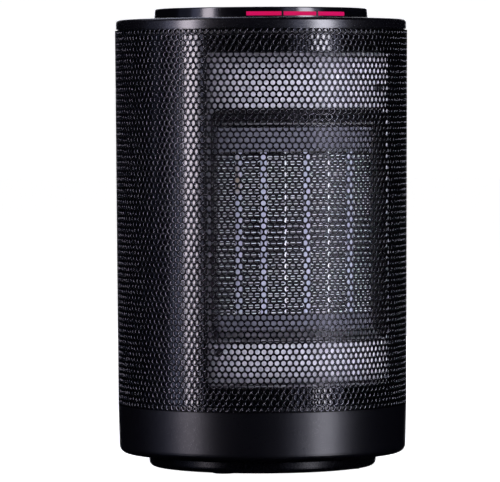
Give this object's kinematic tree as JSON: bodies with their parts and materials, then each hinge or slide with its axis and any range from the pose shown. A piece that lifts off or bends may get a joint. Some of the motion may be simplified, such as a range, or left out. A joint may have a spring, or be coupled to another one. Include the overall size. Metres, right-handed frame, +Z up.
{
  "type": "ceramic space heater",
  "caption": "Cylindrical black ceramic fan heater with a perforated sleeve, a heating core behind an outlet window, lit controls on top and a swinging foot.",
  "frame": {"origin": "centre of the foot's underside, on the surface the heater stands on", "axes": "+Z up along the cylinder's axis; warm air leaves towards -Y; the mains lead leaves towards +Y"},
  "size_m": [0.16, 0.16, 0.2508],
  "materials": {
    "foot_abs": "semi-gloss moulded ABS",
    "zinc_steel": "zinc plated",
    "pad_rubber": "moulded",
    "screw_steel": "zinc plated",
    "acetal": "natural acetal",
    "skirt_abs": "fine spark texture",
    "black_nylon": "moulded",
    "motor_can": "drawn can",
    "circuit_board": "solder resist",
    "relay_case": "moulded",
    "green_resin": "moulded",
    "pale_resin": "moulded",
    "chassis_pp": "moulded",
    "shell_gloss": "high gloss",
    "sleeve_paint": "satin powder paint on perforated steel",
    "cap_abs": "satin",
    "head_abs": "satin",
    "lens_acrylic": "lit acrylic",
    "lamp_resin": "moulded",
    "reflector_aluminium": "rolled sheet",
    "black_screw": "black oxide",
    "funnel_gloss": "glass filled resin",
    "bezel_steel": "dull plated sheet",
    "fin_aluminium": "rolled strip",
    "tube_aluminium": "extruded",
    "ptc_ceramic": "fired",
    "insulation_film": "film",
    "clamp_resin": "high temperature resin",
    "contact_brass": "stamped",
    "cutout_ceramic": "fired",
    "impeller_resin": "moulded",
    "shaft_steel": "ground",
    "key_abs": "satin"
  },
  "bodies": {
    "base": {"foot": "foot_abs", "foot_plate": "zinc_steel", "foot_pads": "pad_rubber", "foot_screws": "screw_steel", "thrust_washer": "acetal", "sun_gear": "acetal", "pivot_screw": "screw_steel"},
    "housing": {"skirt": "skirt_abs", "swivel_bush": "acetal", "cord_gland": "black_nylon", "gland_nut": "black_nylon", "swing_motor": "motor_can", "swing_motor_screws": "screw_steel", "power_board": "circuit_board", "relays": "relay_case", "terminal_block": "green_resin", "tilt_switch": "pale_resin", "lower_deck": "chassis_pp", "deck_screws": "screw_steel", "inner_shell_front": "shell_gloss", "inner_shell_rear": "shell_gloss", "shell_screws": "screw_steel", "sleeve": "sleeve_paint", "top_bulkhead": "chassis_pp", "bulkhead_screws": "screw_steel", "top_cap": "cap_abs", "cap_screws": "screw_steel", "control_head": "head_abs", "indicator_lenses": "lens_acrylic", "control_board": "circuit_board", "indicator_lamps": "lamp_resin", "key_switches": "pale_resin", "board_screws": "screw_steel", "reflector_plate": "reflector_aluminium", "reflector_lip": "reflector_aluminium", "reflector_screws": "black_screw", "element_funnel": "funnel_gloss", "element_bezel": "bezel_steel", "heater_fins": "fin_aluminium", "ptc_tubes": "tube_aluminium", "ptc_stones": "ptc_ceramic", "insulation_strips": "insulation_film", "divider_plates": "tube_aluminium", "end_clamps": "clamp_resin", "terminals": "contact_brass", "thermal_cutout": "cutout_ceramic", "fan_duct": "chassis_pp", "duct_screws": "screw_steel", "fan_motor": "motor_can", "motor_screws": "screw_steel"},
    "swing_drive": {"swing_pinion": "acetal", "swing_shaft": "shaft_steel"},
    "fan": {"impeller": "impeller_resin", "fan_shaft": "shaft_steel", "hub_nut": "contact_brass"},
    "power_key": {"key_power": "key_abs"},
    "heat_key": {"key_heat": "key_abs"},
    "swing_key": {"key_swing": "key_abs"}
  },
  "joints": [
    {"name": "oscillate", "type": "hinge", "parent": "base", "child": "housing", "pos_m": [0, 0, 0], "axis": [0, 0, 1], "range_deg": [-35, 35]},
    {"name": "pinion_turn", "type": "hinge", "parent": "housing", "child": "swing_drive", "pos_m": [0, 0.025, 0.011], "axis": [0, 0, 1], "range_deg": [-75, 75]},
    {"name": "fan_spin", "type": "hinge", "parent": "housing", "child": "fan", "pos_m": [0, -0.01028, 0.1313], "axis": [0, 1, 0], "continuous": true},
    {"name": "power_key_press", "type": "slide", "parent": "housing", "child": "power_key", "axis": [0, 0, -1], "range_m": [0, 0.001], "stiffness_N_per_m": 600, "springref_m": -0.0008},
    {"name": "heat_key_press", "type": "slide", "parent": "housing", "child": "heat_key", "axis": [0, 0, -1], "range_m": [0, 0.001], "stiffness_N_per_m": 600, "springref_m": -0.0008},
    {"name": "swing_key_press", "type": "slide", "parent": "housing", "child": "swing_key", "axis": [0, 0, -1], "range_m": [0, 0.001], "stiffness_N_per_m": 600, "springref_m": -0.0008}
  ],
  "couplings": [
    {"joint": "pinion_turn", "follows": "oscillate", "ratio": 2.125}
  ]
}
